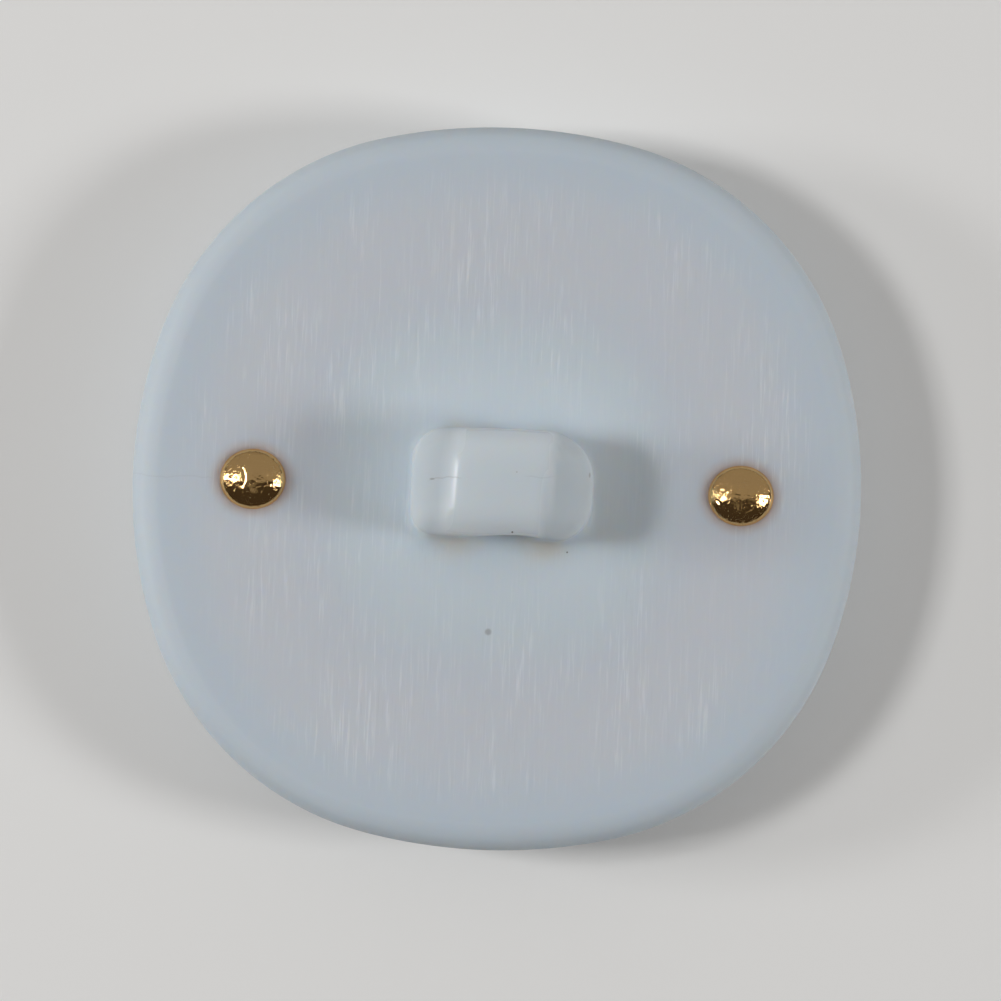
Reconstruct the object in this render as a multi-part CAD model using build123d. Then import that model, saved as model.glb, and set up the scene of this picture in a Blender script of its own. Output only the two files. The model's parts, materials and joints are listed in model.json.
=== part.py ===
from build123d import *

import os
from math import atan2, cos, hypot, pi, sin, sqrt

# A 28 mm sew-on shank button: a milky white body moulded in one piece with its thread shank,
# a gold ring let into the front, and two gold rivets that pass through the body and hold the ring.
#
# Millimetres. The button lies on its front, with the shank up. The origin is the middle of the front,
# on the plane that the ring rests on: +Z points out of the back, and +X runs along the two rivets.

# Outline: a soft square of eight tangent arcs, four long sides and four corners.
HALF_X = 14.0
HALF_Y = 13.9
CORNER_RADIUS = 11.6
CORNER_CENTRE = 2.05  # each corner arc's centre is this far from both middle lines

# Heights above the plane that the ring rests on.
FRONT_Z = 1.1  # the body's front face
BACK_Z = 4.3  # the body's back face
DOME_Z = 0.3  # the crown of the body's front, inside the ring

# Body.
BACK_EDGE_RADIUS = 1.0
FRONT_EDGE_RADIUS = 1.6
DOME_RADIUS = 7.4  # where the crown meets the front face, measured across the face

# Ring.
RING_INSET = 3.2  # from the button's outline to the ring's outer edge
RING_WIDTH = 3.0
RING_CREST_RADIUS = 1.0
GROOVE_DEPTH = 0.8
GROOVE_CLEARANCE = 0.05

# Rivets.
RIVET_X = HALF_X - RING_INSET - RING_WIDTH / 2  # on the middle line of the ring
RIVET_RADIUS = 0.8
RIVET_HOLE_RADIUS = 0.85
SOCKET_DEPTH = 0.9  # how far the rivet's tip goes into the ring
HEAD_RADIUS = 1.12
HEAD_HEIGHT = 0.55
SKIRT_RADIUS = 1.25
SKIRT_THICKNESS = 0.12

# Shank and thread eye. The shank stands a little off the button's middle, as moulded.
SHANK_AT = (0.2, 0.05)
SHANK_LENGTH = 6.85
SHANK_WIDTH = 4.15
SHANK_HEIGHT = 4.0
SHANK_CORNER_RADIUS = 1.45
SHANK_TOP_RADIUS = 1.2
SHANK_FOOT_RADIUS = 0.45
EYE_RADIUS = 1.1
EYE_HEIGHT = 1.35  # the eye's axis above the back face
EYE_STRAIGHT = 2.4  # length of the eye's cylindrical middle
EYE_FLARE_RADIUS = 1.25  # the arc that opens each mouth of the eye


def side_radius(half_size, corner_radius):
    """Radius of the long side arc that is tangent to both of its corner arcs."""
    reach = half_size - CORNER_CENTRE
    return (reach**2 + CORNER_CENTRE**2 - corner_radius**2) / (2 * (reach - corner_radius))


def cushion(inset):
    """The button's outline as a face, moved inwards everywhere by the same distance."""
    half_x = HALF_X - inset
    half_y = HALF_Y - inset
    corner = CORNER_RADIUS - inset
    side_x = side_radius(half_x, corner)
    side_y = side_radius(half_y, corner)
    # A side and a corner meet on the line through their centres, which leans from the axis by this angle.
    lean_x = atan2(CORNER_CENTRE, CORNER_CENTRE - (half_x - side_x))
    lean_y = atan2(CORNER_CENTRE, CORNER_CENTRE - (half_y - side_y))
    near_x = (half_x - side_x + side_x * cos(lean_x), side_x * sin(lean_x))
    near_y = (side_y * sin(lean_y), half_y - side_y + side_y * cos(lean_y))
    diagonal = CORNER_CENTRE + corner / sqrt(2)

    arcs = []
    for x in (1, -1):
        arcs.append(
            ThreePointArc((x * near_x[0], -near_x[1]), (x * half_x, 0), (x * near_x[0], near_x[1]))
        )
    for y in (1, -1):
        arcs.append(
            ThreePointArc((-near_y[0], y * near_y[1]), (0, y * half_y), (near_y[0], y * near_y[1]))
        )
    for x in (1, -1):
        for y in (1, -1):
            arcs.append(
                ThreePointArc(
                    (x * near_x[0], y * near_x[1]),
                    (x * diagonal, y * diagonal),
                    (x * near_y[0], y * near_y[1]),
                )
            )
    return Face(Wire(arcs))


def edges_at(shape, height, reach=None):
    """The shape's edges that lie in one level plane, and within reach of the middle if it is given."""
    found = shape.edges().filter_by_position(Axis.Z, height, height)
    if reach is None:
        return found
    return ShapeList([edge for edge in found if hypot(edge.center().X, edge.center().Y) < reach])


def cap(radius, rise):
    """The top slice of a ball, standing on the level where Z is 0."""
    ball_radius = (radius**2 + rise**2) / (2 * rise)
    ball = Pos(0, 0, rise - ball_radius) * Sphere(ball_radius)
    return ball & Pos(0, 0, rise) * Box(4 * radius, 4 * radius, 2 * rise)


def plate():
    """The body's disc, with rounded edges and a low crown in the middle of its front."""
    disc = Pos(0, 0, FRONT_Z) * extrude(cushion(0), BACK_Z - FRONT_Z)
    disc = fillet(edges_at(disc, BACK_Z), BACK_EDGE_RADIUS)
    disc = fillet(edges_at(disc, FRONT_Z), FRONT_EDGE_RADIUS)
    return disc + Pos(0, 0, FRONT_Z) * Rot(180, 0, 0) * cap(DOME_RADIUS, FRONT_Z - DOME_Z)


def ring_band(height, clearance=0.0):
    """A band that follows the outline, as wide as the ring plus a clearance on both edges."""
    outer = cushion(RING_INSET - clearance)
    inner = cushion(RING_INSET + RING_WIDTH + clearance)
    return extrude(outer - inner, height)


def shank_block():
    """The shank before its eye is opened: a rounded block whose foot will be blended into the back."""
    block = extrude(RectangleRounded(SHANK_LENGTH, SHANK_WIDTH, SHANK_CORNER_RADIUS), SHANK_HEIGHT)
    return fillet(edges_at(block, SHANK_HEIGHT), SHANK_TOP_RADIUS)


def eye_cutter():
    """The thread eye: a straight bore whose two mouths open like trumpets. It never cuts the plate."""
    straight = EYE_STRAIGHT / 2
    mouth = straight + EYE_FLARE_RADIUS
    flared = EYE_RADIUS + EYE_FLARE_RADIUS
    halfway = pi / 4
    bend = (
        straight + EYE_FLARE_RADIUS * sin(halfway),
        flared - EYE_FLARE_RADIUS * cos(halfway),
    )
    outline = [
        Line((-mouth, 0), (-mouth, flared)),
        ThreePointArc((-mouth, flared), (-bend[0], bend[1]), (-straight, EYE_RADIUS)),
        Line((-straight, EYE_RADIUS), (straight, EYE_RADIUS)),
        ThreePointArc((straight, EYE_RADIUS), bend, (mouth, flared)),
        Line((mouth, flared), (mouth, 0)),
        Line((mouth, 0), (-mouth, 0)),
    ]
    trumpet = Rot(0, 0, 90) * revolve(Face(Wire(outline)), Axis.X)
    above_plate = Pos(0, 0, SHANK_HEIGHT / 2) * Box(2 * SHANK_LENGTH, 2 * SHANK_LENGTH, SHANK_HEIGHT)
    return Pos(0, 0, EYE_HEIGHT) * trumpet & above_plate


def body():
    """The whole white moulding: disc, crown, groove for the ring, rivet holes, shank and thread eye."""
    foot = Pos(SHANK_AT[0], SHANK_AT[1], BACK_Z)
    moulding = plate() + foot * shank_block()
    moulding = fillet(edges_at(moulding, BACK_Z, reach=SHANK_LENGTH), SHANK_FOOT_RADIUS)
    moulding -= foot * eye_cutter()
    moulding -= Pos(0, 0, FRONT_Z) * ring_band(GROOVE_DEPTH, GROOVE_CLEARANCE)
    for side in (-1, 1):
        moulding -= Pos(side * RIVET_X, 0, (FRONT_Z + BACK_Z) / 2) * Cylinder(
            RIVET_HOLE_RADIUS, BACK_Z - FRONT_Z
        )
    return moulding


def front_ring():
    """The gold ring, with a rounded crest, a narrow flat to rest on, and two blind rivet sockets."""
    height = FRONT_Z + GROOVE_DEPTH
    ring = fillet(edges_at(ring_band(height), 0), RING_CREST_RADIUS)
    for side in (-1, 1):
        ring -= Pos(side * RIVET_X, 0, height - SOCKET_DEPTH / 2) * Cylinder(RIVET_RADIUS, SOCKET_DEPTH)
    return ring


def rivet():
    """One domed rivet, along Z: the head stands on the level where Z is 0, and the stem hangs below."""
    length = BACK_Z - FRONT_Z - GROOVE_DEPTH + SOCKET_DEPTH
    stem = Pos(0, 0, -length / 2) * Cylinder(RIVET_RADIUS, length)
    skirt = Pos(0, 0, SKIRT_THICKNESS / 2) * Cylinder(SKIRT_RADIUS, SKIRT_THICKNESS)
    dome = Pos(0, 0, SKIRT_THICKNESS) * cap(HEAD_RADIUS, HEAD_HEIGHT - SKIRT_THICKNESS)
    return stem + skirt + dome


parts = {"body": body(), "front_ring": front_ring()}
for name, side in (("rivet_left", -1), ("rivet_right", 1)):
    parts[name] = Pos(side * RIVET_X, 0, BACK_Z) * rivet()

os.makedirs("parts", exist_ok=True)
for name, shape in parts.items():
    export_step(shape, f"parts/{name}.step")
    print(name, len(shape.solids()), "solid", round(shape.volume, 1), "mm3", shape.bounding_box().size)
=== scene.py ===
# %% [markdown]
# # A sew-on shank button
# The button lies on its front, so what shows is its back: a milky white moulding in the shape of a
# soft square, a rounded block in its middle with an eye for the thread, and two gold rivets. On the
# other side a gold ring is let into the front, and the rivets hold it.
#
# The design gives the real sizes and places. Here each piece is modelled again as a smooth mesh with
# the small marks of a real moulding, and gets its finish. First the design is loaded.

# %% Load the frame
import json
import math

import bmesh
import bpy
from mathutils import Matrix, Vector, noise


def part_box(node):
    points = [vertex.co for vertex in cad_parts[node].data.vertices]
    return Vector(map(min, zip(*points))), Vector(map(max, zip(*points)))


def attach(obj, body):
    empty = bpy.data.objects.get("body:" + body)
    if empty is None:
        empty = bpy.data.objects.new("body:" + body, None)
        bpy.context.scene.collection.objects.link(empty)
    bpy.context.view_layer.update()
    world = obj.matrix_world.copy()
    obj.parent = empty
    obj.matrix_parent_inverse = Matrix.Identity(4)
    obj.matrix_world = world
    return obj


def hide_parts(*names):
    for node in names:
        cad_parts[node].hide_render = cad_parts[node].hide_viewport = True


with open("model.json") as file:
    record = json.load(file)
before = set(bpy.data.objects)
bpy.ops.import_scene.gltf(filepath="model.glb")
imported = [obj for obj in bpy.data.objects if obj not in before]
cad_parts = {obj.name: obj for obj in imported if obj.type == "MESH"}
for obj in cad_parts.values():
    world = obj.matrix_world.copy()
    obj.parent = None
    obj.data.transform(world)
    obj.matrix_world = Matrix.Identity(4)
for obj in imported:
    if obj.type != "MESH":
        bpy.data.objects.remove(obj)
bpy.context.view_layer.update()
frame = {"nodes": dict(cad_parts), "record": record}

print("design pieces:", sorted(frame["nodes"]))

# %% [markdown]
# ## Sizes
# Blender counts in metres and a button is made in millimetres, so `MM` turns one into the other.
# The boxes of the four design pieces give most levels: the rivets' heads stand on the back face, and
# the ring's lowest point is the floor. The few sizes that a box can't show are named here.

# %% Sizes from the frame
MM = 0.001

body_low, body_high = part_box("body")
ring_low, ring_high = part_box("front_ring")
rivet_low, rivet_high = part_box("rivet_right")

HALF_X = body_high.x
HALF_Y = body_high.y
CORNER_CENTRE = 2.05 * MM
CORNER_RADIUS = 11.6 * MM

HEAD_HEIGHT = 0.55 * MM
BACK = rivet_high.z - HEAD_HEIGHT
FRONT = 1.1 * MM
GROOVE_FLOOR = ring_high.z

RIVET_X = (rivet_low.x + rivet_high.x) / 2
RING_INSET = HALF_X - ring_high.x
RING_WIDTH = 3.0 * MM
RING_MIDDLE = RING_INSET + RING_WIDTH / 2

print(f"back face at {BACK / MM:.2f} mm, groove floor at {GROOVE_FLOOR / MM:.2f} mm")
print(f"rivets at {RIVET_X / MM:.2f} mm from the middle")

# %% [markdown]
# ## The soft-square outline
# The button's edge is eight arcs that run into each other: four long, nearly straight sides and four
# rounder corners. A point on it is found from the way that the edge faces there. Moving along that
# way gives an outline that is smaller by the same distance everywhere, which is what the ring, its
# groove and the rounded edges need.

# %% Outline helpers
SPOKES = 64


def side_radius(half_size):
    """Radius of a long side, so that it runs smoothly into the corner arcs."""
    reach = half_size - CORNER_CENTRE
    return (reach**2 + CORNER_CENTRE**2 - CORNER_RADIUS**2) / (2 * (reach - CORNER_RADIUS))


SIDE_X = side_radius(HALF_X)
SIDE_Y = side_radius(HALF_Y)
LEAN_X = math.atan2(CORNER_CENTRE, CORNER_CENTRE + SIDE_X - HALF_X)
LEAN_Y = math.atan2(CORNER_CENTRE, CORNER_CENTRE + SIDE_Y - HALF_Y)


def arc_of(facing):
    """Centre and radius of the arc that faces this way, for a quarter of the outline."""
    if facing < LEAN_X:
        return HALF_X - SIDE_X, 0.0, SIDE_X
    if facing > math.pi / 2 - LEAN_Y:
        return 0.0, HALF_Y - SIDE_Y, SIDE_Y
    return CORNER_CENTRE, CORNER_CENTRE, CORNER_RADIUS


def outline_point(angle, inset, height):
    """The place where the edge faces this angle, moved inwards by the inset, at this height."""
    along, across = math.cos(angle), math.sin(angle)
    centre_x, centre_y, radius = arc_of(math.atan2(abs(across), abs(along)))
    x = centre_x + (radius - inset) * abs(along)
    y = centre_y + (radius - inset) * abs(across)
    return Vector((math.copysign(x, along), math.copysign(y, across), height))


def rim_distance(x, y):
    """How far a point lies inside the edge, measured straight in from the nearest place on it."""
    x, y = abs(x), abs(y)
    if y <= math.tan(LEAN_X) * (x + SIDE_X - HALF_X):
        return SIDE_X - math.hypot(x + SIDE_X - HALF_X, y)
    if x <= math.tan(LEAN_Y) * (y + SIDE_Y - HALF_Y):
        return SIDE_Y - math.hypot(x, y + SIDE_Y - HALF_Y)
    return CORNER_RADIUS - math.hypot(x - CORNER_CENTRE, y - CORNER_CENTRE)


spoke_angles = [math.tau * spoke / SPOKES for spoke in range(SPOKES)]
print(f"side arcs {SIDE_X / MM:.2f} and {SIDE_Y / MM:.2f} mm, corner arcs {CORNER_RADIUS / MM:.2f} mm")

# %% [markdown]
# ## Pulling rings of vertices
# Most of the button is one ring of vertices pulled out again and again, each time to a new inset and
# height, as a potter draws a wall up. `extrude_edge_only` makes the next ring of faces, and the new
# vertices are put where the cross-section wants them. A Subdivision Surface modifier rounds the
# result, so two rings close together give a crisp edge and rings far apart a soft one.

# %% Ring helpers


def sorted_ring(verts, centre=(0.0, 0.0)):
    """The vertices in order round a centre, anticlockwise, from the one on the +X side."""

    def turn(vert):
        angle = math.atan2(vert.co.y - centre[1], vert.co.x - centre[0])
        return (angle + 0.01) % math.tau

    return sorted(verts, key=turn)


def ring_edges(bm, ring):
    """The edges that join a closed ring of vertices."""
    return [bm.edges.get((a, b)) for a, b in zip(ring, ring[1:] + ring[:1])]


def pull_ring(bm, ring, places):
    """Extrudes a closed ring, moves the new ring to its places and gives it back in the same order."""
    made = bmesh.ops.extrude_edge_only(bm, edges=ring_edges(bm, ring))["geom"]
    fresh = {item for item in made if isinstance(item, bmesh.types.BMVert)}
    following = []
    for vert, place in zip(ring, places):
        neighbours = (edge.other_vert(vert) for edge in vert.link_edges)
        twin = next(neighbour for neighbour in neighbours if neighbour in fresh)
        twin.co = place
        following.append(twin)
    return following


def pull_profile(bm, ring, profile):
    """Pulls a ring through a cross-section, given as insets from the button's edge and heights."""
    for inset, height in profile:
        ring = pull_ring(bm, ring, [outline_point(angle, inset, height) for angle in spoke_angles])
    return ring


def quarter_arc(inset, height, radius, steps, start, turn):
    """Points on an arc in the cross-section, about a centre. Start and turn are in degrees."""
    points = []
    for step in range(1, steps + 1):
        angle = math.radians(start + turn * step / steps)
        points.append((inset - radius * math.cos(angle), height + radius * math.sin(angle)))
    return points


def add_to_scene(name, data):
    """Puts a mesh, a lamp or a camera into the scene as an object."""
    thing = bpy.data.objects.new(name, data)
    bpy.context.scene.collection.objects.link(thing)
    return thing


def finish_mesh(bm, name, levels):
    """Turns a closed bmesh into a smooth piece with a Subdivision Surface modifier."""
    bmesh.ops.recalc_face_normals(bm, faces=bm.faces[:])
    for face in bm.faces:
        face.smooth = True
    open_edges = sum(1 for edge in bm.edges if len(edge.link_faces) != 2)
    mesh = bpy.data.meshes.new(name)
    bm.to_mesh(mesh)
    bm.free()
    piece = add_to_scene(name, mesh)
    if levels:
        rounding = piece.modifiers.new("rounding", "SUBSURF")
        rounding.levels = levels
        rounding.render_levels = levels
    print(f"{name}: {len(mesh.polygons)} faces, {open_edges} open edges, subdivided {levels} times")
    return piece


# %% [markdown]
# ## The shank as a block
# The shank is moulded in one piece with the disc: a block with two legs and a bridge, and the thread
# runs through under the bridge. A block with a hole is quickest to make from the side. A flat sheet
# of squares gets a square window, is pulled through to the block's full width, and is opened below,
# where it will grow out of the disc. It is counted in whole squares first: columns along the button,
# rows across it and levels upwards.

# %% Shank block
COLUMNS = 20
ROWS = 12
LEVELS = 11
EYE_COLUMNS = 6
EYE_BOTTOM_LEVEL = 1
EYE_TOP_LEVEL = 7


def shank_block():
    """A block of squares with a square window through it and no underside."""
    bm = bmesh.new()
    upright = Matrix.Rotation(math.radians(90), 4, "X") @ Matrix.Diagonal((COLUMNS, LEVELS, 1, 1))
    to_near_side = Matrix.Translation((0, -ROWS / 2, LEVELS / 2))
    bmesh.ops.create_grid(
        bm, x_segments=COLUMNS, y_segments=LEVELS, size=0.5, matrix=to_near_side @ upright
    )

    def in_window(face):
        middle = face.calc_center_median()
        return abs(middle.x) < EYE_COLUMNS / 2 and EYE_BOTTOM_LEVEL < middle.z < EYE_TOP_LEVEL

    bmesh.ops.delete(bm, geom=[face for face in bm.faces if in_window(face)], context="FACES")

    made = bmesh.ops.extrude_face_region(bm, geom=bm.faces[:])["geom"]
    far_side = [item for item in made if isinstance(item, bmesh.types.BMVert)]
    bmesh.ops.translate(bm, verts=far_side, vec=(0, ROWS, 0))
    through = [edge for edge in bm.edges if abs(edge.verts[0].co.y - edge.verts[1].co.y) > 1]
    bmesh.ops.subdivide_edges(bm, edges=through, cuts=ROWS - 1, use_grid_fill=True)

    underside = [face for face in bm.faces if all(vert.co.z < 0.5 for vert in face.verts)]
    bmesh.ops.delete(bm, geom=underside, context="FACES")
    return bm


body_mesh = shank_block()
print("shank block:", len(body_mesh.faces), "squares")

# %% [markdown]
# ## Rounding the shank
# A few bends turn the counted block into the moulded one. The window's squares are pushed out to a
# round eye that opens like a trumpet towards both mouths, so that it never cuts the thread. The
# block's corners are bent from a cube's to a ball's. The top falls away past two leaning ridges,
# and the near side has a waist. The lowest levels flare outwards, because a moulder never leaves a
# sharp inside corner at the foot of something that will be pulled on.

# %% Shank shape
eye_mount = next(mount for mount in frame["record"]["mounts"] if mount["name"] == "thread_eye")
SHANK_CENTRE = Vector((eye_mount["pos_m"][0], eye_mount["pos_m"][1], BACK))
EYE_HEIGHT = eye_mount["pos_m"][2] - BACK
EYE_RADIUS = eye_mount["dims"]["r_mm"] * MM
EYE_STRAIGHT = eye_mount["dims"]["length_mm"] * MM
EYE_FLARE_RADIUS = 1.25 * MM

SHANK_HALF = Vector((3.425 * MM, 2.075 * MM, body_high.z - BACK))
TOP_ROUNDING = Vector((0.6 * MM, 1.35 * MM, 0.9 * MM))
CORNER_ROUNDING = {(1, 1): 1.9 * MM, (-1, 1): 1.3 * MM, (-1, -1): 1.0 * MM, (1, -1): 1.5 * MM}
FOOT_RADIUS = 0.45 * MM
LIP = 0.03 * MM  # the lowest that the eye's mouth comes down above the back face
RIGHT_LEAN, LEFT_LEAN = 0.11, 0.12  # how much the two ridges on top lean
TOP_ARCH = 0.03
RIGHT_SLOPE, LEFT_SLOPE = 0.36, 0.44  # how steeply the top falls past the ridges
WAIST = ((0.6, 1.4, 0.17), (-2.2, 1.2, 0.08), (2.4, 0.6, -0.07))  # middle, reach, inwards in mm


def clamped(value):
    """The value, kept between 0 and 1."""
    return min(max(value, 0.0), 1.0)


def level_height(level):
    """Height of a level of squares above the back face."""
    eye_low, eye_high = EYE_HEIGHT - EYE_RADIUS, EYE_HEIGHT + EYE_RADIUS
    if level <= EYE_BOTTOM_LEVEL:
        return eye_low * level / EYE_BOTTOM_LEVEL
    if level <= EYE_TOP_LEVEL:
        share = (level - EYE_BOTTOM_LEVEL) / (EYE_TOP_LEVEL - EYE_BOTTOM_LEVEL)
        return eye_low + (eye_high - eye_low) * share
    share = (level - EYE_TOP_LEVEL) / (LEVELS - EYE_TOP_LEVEL)
    return eye_high + (SHANK_HALF.z - eye_high) * share


def mouth_radius(y):
    """Radius of the thread eye this far from the shank's middle."""
    past = max(abs(y) - EYE_STRAIGHT / 2, 0.0)
    return EYE_RADIUS + EYE_FLARE_RADIUS - math.sqrt(EYE_FLARE_RADIUS**2 - past**2)


def round_eye(place):
    """Moves a point of the block so that its square window becomes a round, flared eye."""
    across, above = place.x, place.z - EYE_HEIGHT
    window = Vector((SHANK_HALF.x * EYE_COLUMNS / COLUMNS, EYE_RADIUS))
    squares = max(abs(across) / window.x, abs(above) / window.y)
    room = SHANK_HALF.z - EYE_HEIGHT if above > 0 else EYE_HEIGHT
    to_outside = min(SHANK_HALF.x / max(abs(across), 1e-9), room / max(abs(above), 1e-9))
    to_window = 1 / squares
    share = (1 - to_window) / (to_outside - to_window)
    radius = mouth_radius(place.y) / math.hypot(across, above)
    scale = radius + (to_outside - radius) * share
    return Vector((across * scale, place.y, EYE_HEIGHT + above * scale))


def corner_rounding(place):
    """Rounding of the block's upright edges here. No two of them are rounded alike."""
    right = clamped(0.5 + place.x / SHANK_HALF.x)
    far = clamped(0.5 + place.y / SHANK_HALF.y)
    near_side = CORNER_ROUNDING[-1, -1] * (1 - right) + CORNER_ROUNDING[1, -1] * right
    far_side = CORNER_ROUNDING[-1, 1] * (1 - right) + CORNER_ROUNDING[1, 1] * right
    return near_side * (1 - far) + far_side * far


def past_inner_block(place, rounding):
    """How far a point is into each rounded edge of the block, from 0 to 1."""
    reach = (abs(place.x) - SHANK_HALF.x, abs(place.y) - SHANK_HALF.y, place.z - SHANK_HALF.z)
    return [max(distance + radius, 0.0) / radius for distance, radius in zip(reach, rounding)]


def soften_corners(place):
    """Rounds the block's upright edges, and then the edges round its top."""
    radius = corner_rounding(place)
    along, across, _ = past_inner_block(place, (radius, radius, radius))
    outward = Vector((math.copysign(along, place.x), math.copysign(across, place.y), 0.0))
    x = min(abs(place.x), SHANK_HALF.x - radius) + radius * along * math.sqrt(1 - across**2 / 2)
    y = min(abs(place.y), SHANK_HALF.y - radius) + radius * across * math.sqrt(1 - along**2 / 2)

    end, side, top = past_inner_block(place, TOP_ROUNDING)
    edge = max(end, side)
    rise = TOP_ROUNDING.z * top * math.sqrt(1 - edge**2 / 2)
    z = min(place.z, SHANK_HALF.z - TOP_ROUNDING.z) + rise
    softened = Vector((math.copysign(x, place.x), math.copysign(y, place.y), z))
    if outward.length > 0 and edge > 0:
        width = TOP_ROUNDING.x if end > side else TOP_ROUNDING.y
        softened -= outward.normalized() * width * edge * (1 - math.sqrt(1 - top**2 / 2))
    return softened


def past_ridges(x, y, right_at, left_at):
    """How far a place in millimetres is past each ridge on the shank's top. Both lean a little."""
    return x - right_at - RIGHT_LEAN * y, -left_at + LEFT_LEAN * y - x


def slope_ends(place):
    """Gives the top a slight arch along the shank and steeper ends past its two ridges."""
    x, y = place.x / MM, place.y / MM
    past_right, past_left = past_ridges(x, y, 1.62, 1.72)
    drop = TOP_ARCH * x**2 + RIGHT_SLOPE * max(past_right, 0.0) + LEFT_SLOPE * max(past_left, 0.0)
    share = max(place.z / SHANK_HALF.z - 0.5, 0.0) / 0.5
    place.z -= share * drop * MM
    return place


def narrow_waist(place):
    """Draws in the near side of the bridge and leaves a fuller right end."""
    if place.y < 0:
        x = place.x / MM
        share = clamped(place.z / (1.5 * MM)) * -place.y / SHANK_HALF.y
        pull = sum(inwards * math.exp(-(((x - at) / reach) ** 2)) for at, reach, inwards in WAIST)
        place.y += pull * share * MM
    return place


def flare_foot(place, facing):
    """Moves a point of the wall outwards where the wall runs into the disc, least at the ends."""
    height = max(place.z, 0.0)
    if height < FOOT_RADIUS and facing.length > 0:
        facing = facing.normalized()
        radius = FOOT_RADIUS * (0.1 + 0.9 * facing.y**2)
        above = 1 - height / FOOT_RADIUS
        place = place + facing * radius * (1 - math.sqrt(1 - above**2))
    return place


def shape_shank(bm):
    """Takes the counted block to its real size and shape, on the back face."""
    for vert in bm.verts:
        column, row, level = vert.co.x, vert.co.y, round(vert.co.z)
        x = column / COLUMNS * 2 * SHANK_HALF.x
        y = row / ROWS * 2 * SHANK_HALF.y
        place = round_eye(Vector((x, y, level_height(level))))
        if level > 0:
            place.z = max(place.z, LIP)
        facing = Vector()
        if abs(column) > COLUMNS / 2 - 0.5 or abs(row) > ROWS / 2 - 0.5:
            radius = corner_rounding(place)
            along, across, _ = past_inner_block(place, (radius, radius, radius))
            facing = Vector((math.copysign(along, column), math.copysign(across, row), 0.0))
        bent = narrow_waist(slope_ends(soften_corners(place)))
        vert.co = SHANK_CENTRE + flare_foot(bent, facing)


foot_ring = sorted_ring([vert for vert in body_mesh.verts if vert.co.z < 0.5])
shape_shank(body_mesh)
shank_top = max(vert.co.z for vert in body_mesh.verts)
print(f"shank foot: {len(foot_ring)} vertices round it, top at {shank_top / MM:.2f} mm")

# %% [markdown]
# ## The disc
# From the shank's foot the same ring is pulled outwards over the back face, round the edge and back
# inwards over the front. On the way it goes down into the groove for the ring and up again. Between
# the foot and the outer rings the shape changes from a small rectangle to the soft square, so those
# rings are a mix of the two. The front's middle is a low crown, closed with a patch of squares.

# %% Disc
BACK_EDGE = 1.0 * MM
FRONT_EDGE = 1.6 * MM
HOLD = 0.08 * MM  # distance between two rings that keep an edge crisp
HOLE_SPREAD = 0.85 * MM  # rings this far on both sides of the rivets leave a square to open
GROOVE_CLEARANCE = 0.05 * MM
CROWN_RADIUS = 7.4 * MM
CROWN_LOW = body_low.z
CENTRE_PATCH = 16
CENTRE_PATCH_RADIUS = 3.0 * MM

back_profile = [
    (RING_MIDDLE + 2 * HOLE_SPREAD, BACK),
    (RING_MIDDLE + HOLE_SPREAD, BACK),
    (RING_MIDDLE, BACK),
    (RING_MIDDLE - HOLE_SPREAD, BACK),
    (2.0 * BACK_EDGE, BACK),
    (BACK_EDGE + HOLD, BACK),
    (BACK_EDGE, BACK),
]
rim_profile = [
    *quarter_arc(BACK_EDGE, BACK - BACK_EDGE, BACK_EDGE, 4, 90, -90),
    *quarter_arc(FRONT_EDGE, FRONT + FRONT_EDGE, FRONT_EDGE, 6, 0, -90),
]
groove_outer = RING_INSET - GROOVE_CLEARANCE
groove_inner = RING_INSET + RING_WIDTH + GROOVE_CLEARANCE
front_profile = [
    (FRONT_EDGE + 3 * HOLD, FRONT),
    (groove_outer - HOLD, FRONT),
    (groove_outer, FRONT),
    (groove_outer, FRONT + HOLD),
    (groove_outer, GROOVE_FLOOR - HOLD),
    (groove_outer, GROOVE_FLOOR),
    (groove_outer + HOLD, GROOVE_FLOOR),
    (RING_MIDDLE - HOLE_SPREAD, GROOVE_FLOOR),
    (RING_MIDDLE, GROOVE_FLOOR),
    (RING_MIDDLE + HOLE_SPREAD, GROOVE_FLOOR),
    (groove_inner - HOLD, GROOVE_FLOOR),
    (groove_inner, GROOVE_FLOOR),
    (groove_inner, GROOVE_FLOOR - HOLD),
    (groove_inner, FRONT + HOLD),
    (groove_inner, FRONT),
    (groove_inner + HOLD, FRONT),
]


def crown_height(x, y):
    """Height of the front's low crown at a point inside the ring."""
    rise = FRONT - CROWN_LOW
    ball = (CROWN_RADIUS**2 + rise**2) / (2 * rise)
    reach = min(math.hypot(x, y), CROWN_RADIUS)
    return CROWN_LOW + ball - math.sqrt(ball**2 - reach**2)


def mixed_places(ring, inset, share, height=None):
    """Places between a ring's own ones and an outline, on the crown where no height is given."""
    places = []
    for vert, angle in zip(ring, spoke_angles):
        place = vert.co.lerp(outline_point(angle, inset, vert.co.z), share)
        place.z = crown_height(place.x, place.y) if height is None else height
        places.append(place)
    return places


def square_to_disc(x, y):
    """Moves a point of a square from -1 to 1 onto a disc of radius 1."""
    return x * math.sqrt(1 - y * y / 2), y * math.sqrt(1 - x * x / 2)


def crown_patch(bm):
    """The round patch of squares in the middle of the crown. Gives back its edge ring."""
    made = bmesh.ops.create_grid(
        bm, x_segments=CENTRE_PATCH, y_segments=CENTRE_PATCH, size=1.0
    )["verts"]
    edge = sorted_ring([vert for vert in made if max(abs(vert.co.x), abs(vert.co.y)) > 0.99])
    for vert in made:
        x, y = square_to_disc(vert.co.x, vert.co.y)
        x, y = x * CENTRE_PATCH_RADIUS, y * CENTRE_PATCH_RADIUS
        vert.co = (x, y, crown_height(x, y))
    return edge


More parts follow.
